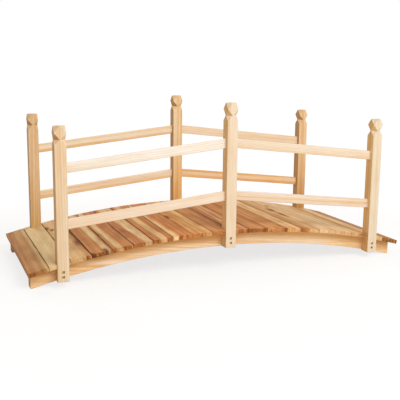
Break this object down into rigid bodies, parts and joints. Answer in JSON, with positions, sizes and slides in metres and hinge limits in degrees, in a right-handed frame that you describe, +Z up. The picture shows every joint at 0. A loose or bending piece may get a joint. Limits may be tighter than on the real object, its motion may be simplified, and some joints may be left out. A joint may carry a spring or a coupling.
{
  "type": "arched garden footbridge",
  "caption": "Arched softwood garden footbridge: curved stringers carry notched cross boards, and square posts with carved heads hold straight sloping rails on both sides.",
  "frame": {"origin": "on the ground under the middle of the deck's length and width", "axes": "+X along the bridge from the left end to the right end, +Y across it from front to back, +Z up"},
  "size_m": [1.3779, 0.586, 0.581],
  "materials": {
    "frame_wood": "pale planed softwood, clear matt",
    "deck_wood": "reddish heartwood and pale sapwood, clear matt",
    "screw_metal": "yellow plated screw heads"
  },
  "bodies": {
    "root": {"front_stringer": "frame_wood", "back_stringer": "frame_wood", "front_left_post": "frame_wood", "front_middle_post": "frame_wood", "front_right_post": "frame_wood", "back_left_post": "frame_wood", "back_middle_post": "frame_wood", "back_right_post": "frame_wood", "front_left_upper_rail": "frame_wood", "front_left_lower_rail": "frame_wood", "front_right_upper_rail": "frame_wood", "front_right_lower_rail": "frame_wood", "back_left_upper_rail": "frame_wood", "back_left_lower_rail": "frame_wood", "back_right_upper_rail": "frame_wood", "back_right_lower_rail": "frame_wood", "deck_board_01": "deck_wood", "deck_board_02": "deck_wood", "deck_board_03": "deck_wood", "deck_board_04": "deck_wood", "deck_board_05": "deck_wood", "deck_board_06": "deck_wood", "deck_board_07": "deck_wood", "deck_board_08": "deck_wood", "deck_board_09": "deck_wood", "deck_board_10": "deck_wood", "deck_board_11": "deck_wood", "deck_board_12": "deck_wood", "deck_board_13": "deck_wood", "deck_board_14": "deck_wood", "deck_board_15": "deck_wood", "deck_board_16": "deck_wood", "deck_board_17": "deck_wood", "deck_board_18": "deck_wood", "deck_board_19": "deck_wood", "deck_board_20": "deck_wood"}
  },
  "joints": []
}
